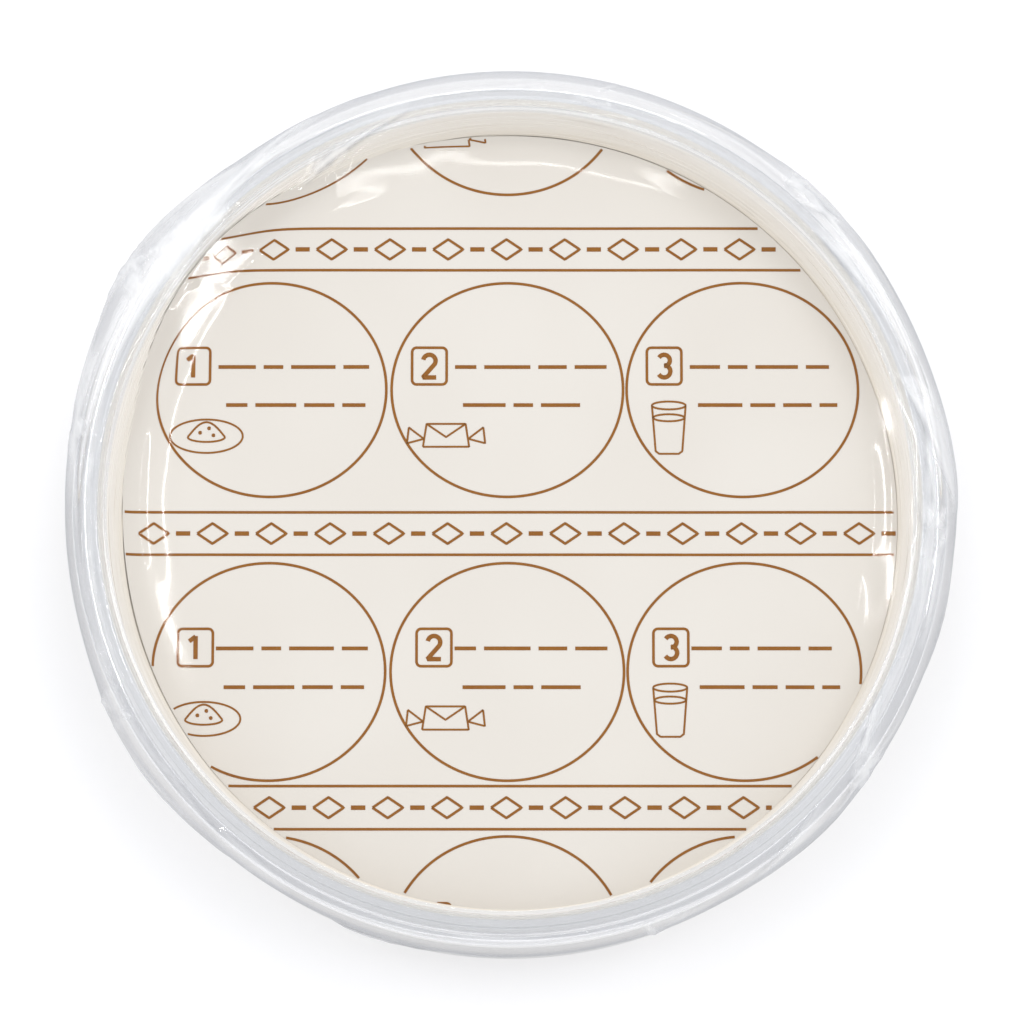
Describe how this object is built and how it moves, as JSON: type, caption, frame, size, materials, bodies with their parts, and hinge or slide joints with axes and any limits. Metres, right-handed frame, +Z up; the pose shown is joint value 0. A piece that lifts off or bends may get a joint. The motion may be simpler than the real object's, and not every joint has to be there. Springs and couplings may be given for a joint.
{
  "type": "sealed round pack of edible wafer paper",
  "caption": "Round clear case lying face up, holding a stack of thin edible wafer papers under a printed cover sheet, with a clear lid and a clear shrink film round it all.",
  "frame": {"origin": "middle of the pack's underside, where it lies on a table", "axes": "+Z up out of the printed face, +Y towards the top of the print, +X to the right of the print"},
  "size_m": [0.0988, 0.0986, 0.0191],
  "materials": {
    "wafer": "dry, matt starch wafer, cream white",
    "cover_paper": "thin smooth paper printed with brown lines",
    "clear_case": "clear moulded polystyrene, glossy",
    "clear_film": "clear shrink film, glossy, with folds at the rim"
  },
  "bodies": {
    "root": {"wafer_stack": "wafer", "cover_sheet": "cover_paper", "clear_tray": "clear_case", "clear_lid": "clear_case", "shrink_film": "clear_film"}
  },
  "joints": []
}
